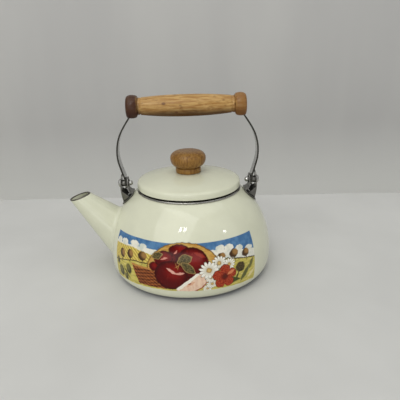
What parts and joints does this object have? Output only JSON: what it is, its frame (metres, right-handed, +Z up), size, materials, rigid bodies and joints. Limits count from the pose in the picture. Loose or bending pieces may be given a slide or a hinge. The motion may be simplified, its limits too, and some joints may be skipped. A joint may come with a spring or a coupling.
{
  "type": "stovetop kettle",
  "caption": "Enamelled steel stovetop kettle with an open conical spout, a lift-off lid with a wooden knob, and a swinging flat-steel bail with a turned wooden grip.",
  "frame": {"origin": "centre of the flat base, on the body's axis", "axes": "+Z up along the body's axis, the spout points along -X, and the bail's hinge axis is parallel to X"},
  "size_m": [0.2324, 0.1878, 0.2037],
  "materials": {
    "body_enamel": "glossy cream vitreous enamel",
    "lid_enamel": "glossy cream vitreous enamel",
    "base_enamel": "cream vitreous enamel, slightly scorched",
    "trim_steel": "rolled stainless trim",
    "lip_steel": "bare darkened lip",
    "plug_steel": "satin steel",
    "bail_steel": "plated strip steel",
    "ear_steel": "plated stamped steel, tarnished in the corners",
    "rivet_steel": "plated rivets and washers",
    "screw_steel": "plated screws",
    "knob_wood": "varnished hardwood, grain upright",
    "grip_wood": "varnished hardwood, grain lengthwise, scorched at the spout end"
  },
  "bodies": {
    "kettle": {"kettle_body": "body_enamel", "base_pan": "base_enamel", "mouth_ring": "trim_steel", "spout": "body_enamel", "spout_rim": "lip_steel", "left_ear_bracket": "ear_steel", "left_ear_rivet_front": "rivet_steel", "left_ear_rivet_back": "rivet_steel", "left_hinge_pin": "rivet_steel", "left_hinge_spacer": "rivet_steel", "left_hinge_burr": "rivet_steel", "right_ear_bracket": "ear_steel", "right_ear_rivet_front": "rivet_steel", "right_ear_rivet_back": "rivet_steel", "right_hinge_pin": "rivet_steel", "right_hinge_spacer": "rivet_steel", "right_hinge_burr": "rivet_steel"},
    "lid": {"lid": "lid_enamel", "lid_plug_ring": "plug_steel", "lid_knob": "knob_wood", "knob_washer": "screw_steel", "knob_screw": "screw_steel"},
    "bail": {"bail_strap": "bail_steel", "bail_grip": "grip_wood", "left_grip_screw": "screw_steel", "right_grip_screw": "screw_steel"}
  },
  "joints": [
    {"name": "bail_swing", "type": "hinge", "parent": "kettle", "child": "bail", "pos_m": [0, 0, 0.105], "axis": [1, 0, 0], "range_deg": [-98, 98]},
    {"name": "lid_lift", "type": "slide", "parent": "kettle", "child": "lid", "axis": [0, 0, 1], "range_m": [0, 0.034]}
  ]
}
